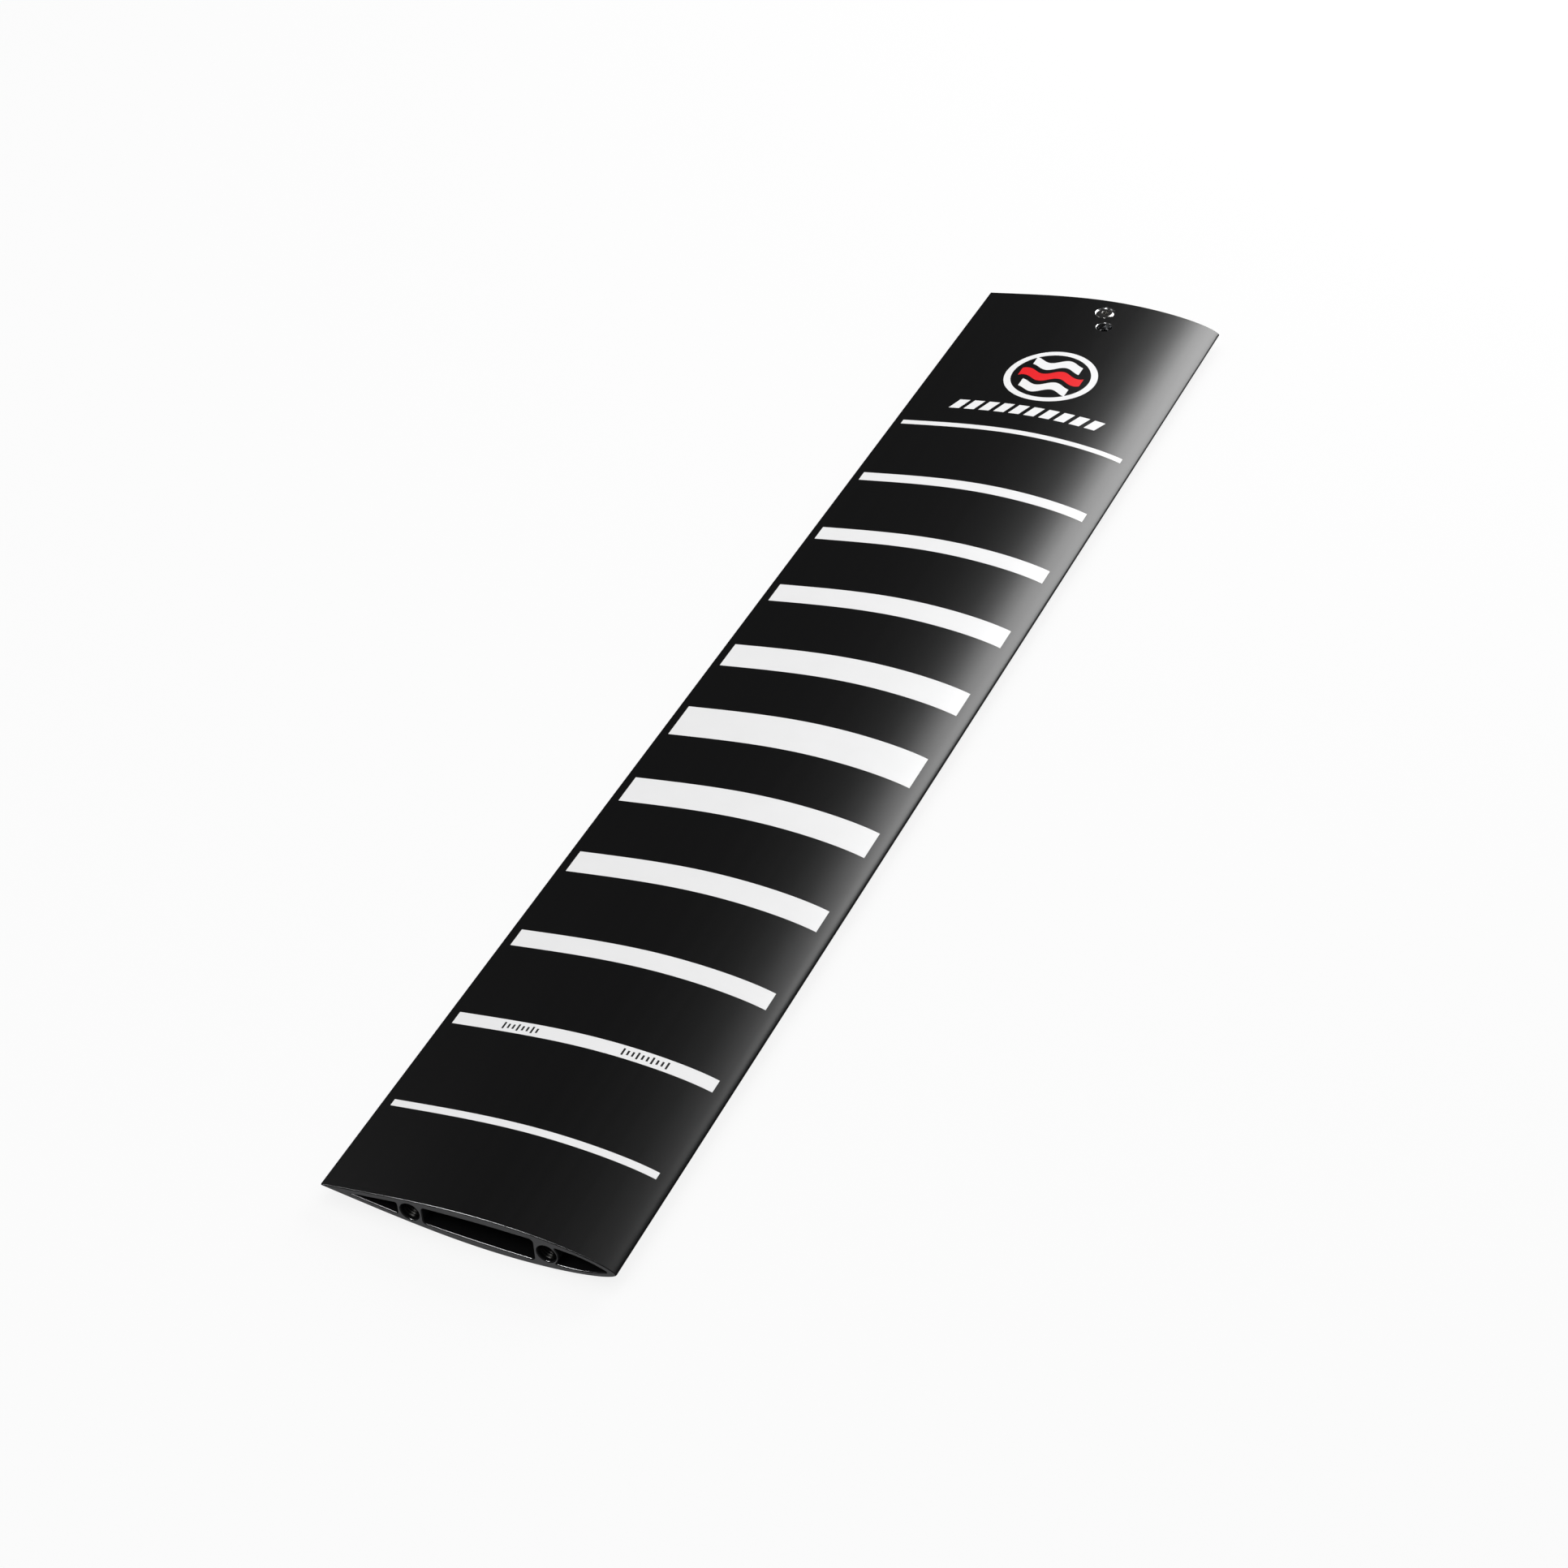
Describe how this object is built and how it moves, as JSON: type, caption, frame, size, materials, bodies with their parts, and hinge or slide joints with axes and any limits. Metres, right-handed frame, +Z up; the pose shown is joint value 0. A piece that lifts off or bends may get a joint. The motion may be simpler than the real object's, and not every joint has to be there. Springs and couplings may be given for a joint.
{
  "type": "hydrofoil mast",
  "caption": "Hollow extruded aluminium hydrofoil mast of aerofoil section with white depth bands on a black anodised skin, and threaded screw ports in both ends.",
  "frame": {"origin": "bottom centre of the mast lying on its side", "axes": "+X from the trailing edge to the nose, +Y along the mast to the head end, +Z up through its thickness"},
  "size_m": [0.13, 0.72, 0.0174],
  "materials": {
    "anodised_aluminium": "black satin hard anodised",
    "white_film": "satin white film",
    "red_film": "satin red film",
    "black_film": "satin black film",
    "stainless_insert": "bright drawn wire",
    "stainless_screw": "polished stainless",
    "black_oxide_steel": "black oxide",
    "machined_aluminium": "black anodised, machined"
  },
  "bodies": {
    "root": {"mast_extrusion": "anodised_aluminium", "depth_band_01_upper": "white_film", "depth_band_02_upper": "white_film", "depth_band_03_upper": "white_film", "depth_band_04_upper": "white_film", "depth_band_05_upper": "white_film", "depth_band_06_upper": "white_film", "depth_band_07_upper": "white_film", "depth_band_08_upper": "white_film", "depth_band_09_upper": "white_film", "depth_band_10_upper": "white_film", "depth_band_11_upper": "white_film", "length_marks_upper": "black_film", "emblem_ring_upper": "white_film", "emblem_white_waves_upper": "white_film", "emblem_red_wave_upper": "red_film", "emblem_dashes_upper": "white_film", "depth_band_01_lower": "white_film", "depth_band_02_lower": "white_film", "depth_band_03_lower": "white_film", "depth_band_04_lower": "white_film", "depth_band_05_lower": "white_film", "depth_band_06_lower": "white_film", "depth_band_07_lower": "white_film", "depth_band_08_lower": "white_film", "depth_band_09_lower": "white_film", "depth_band_10_lower": "white_film", "depth_band_11_lower": "white_film", "length_marks_lower": "black_film", "emblem_ring_lower": "white_film", "emblem_white_waves_lower": "white_film", "emblem_red_wave_lower": "red_film", "emblem_dashes_lower": "white_film", "thread_insert_open_end_rear": "stainless_insert", "thread_insert_open_end_front": "stainless_insert", "thread_insert_head_end_rear": "stainless_insert", "thread_insert_head_end_front": "stainless_insert", "head_block": "machined_aluminium", "cross_screw": "stainless_screw", "set_screw": "black_oxide_steel"}
  },
  "joints": []
}
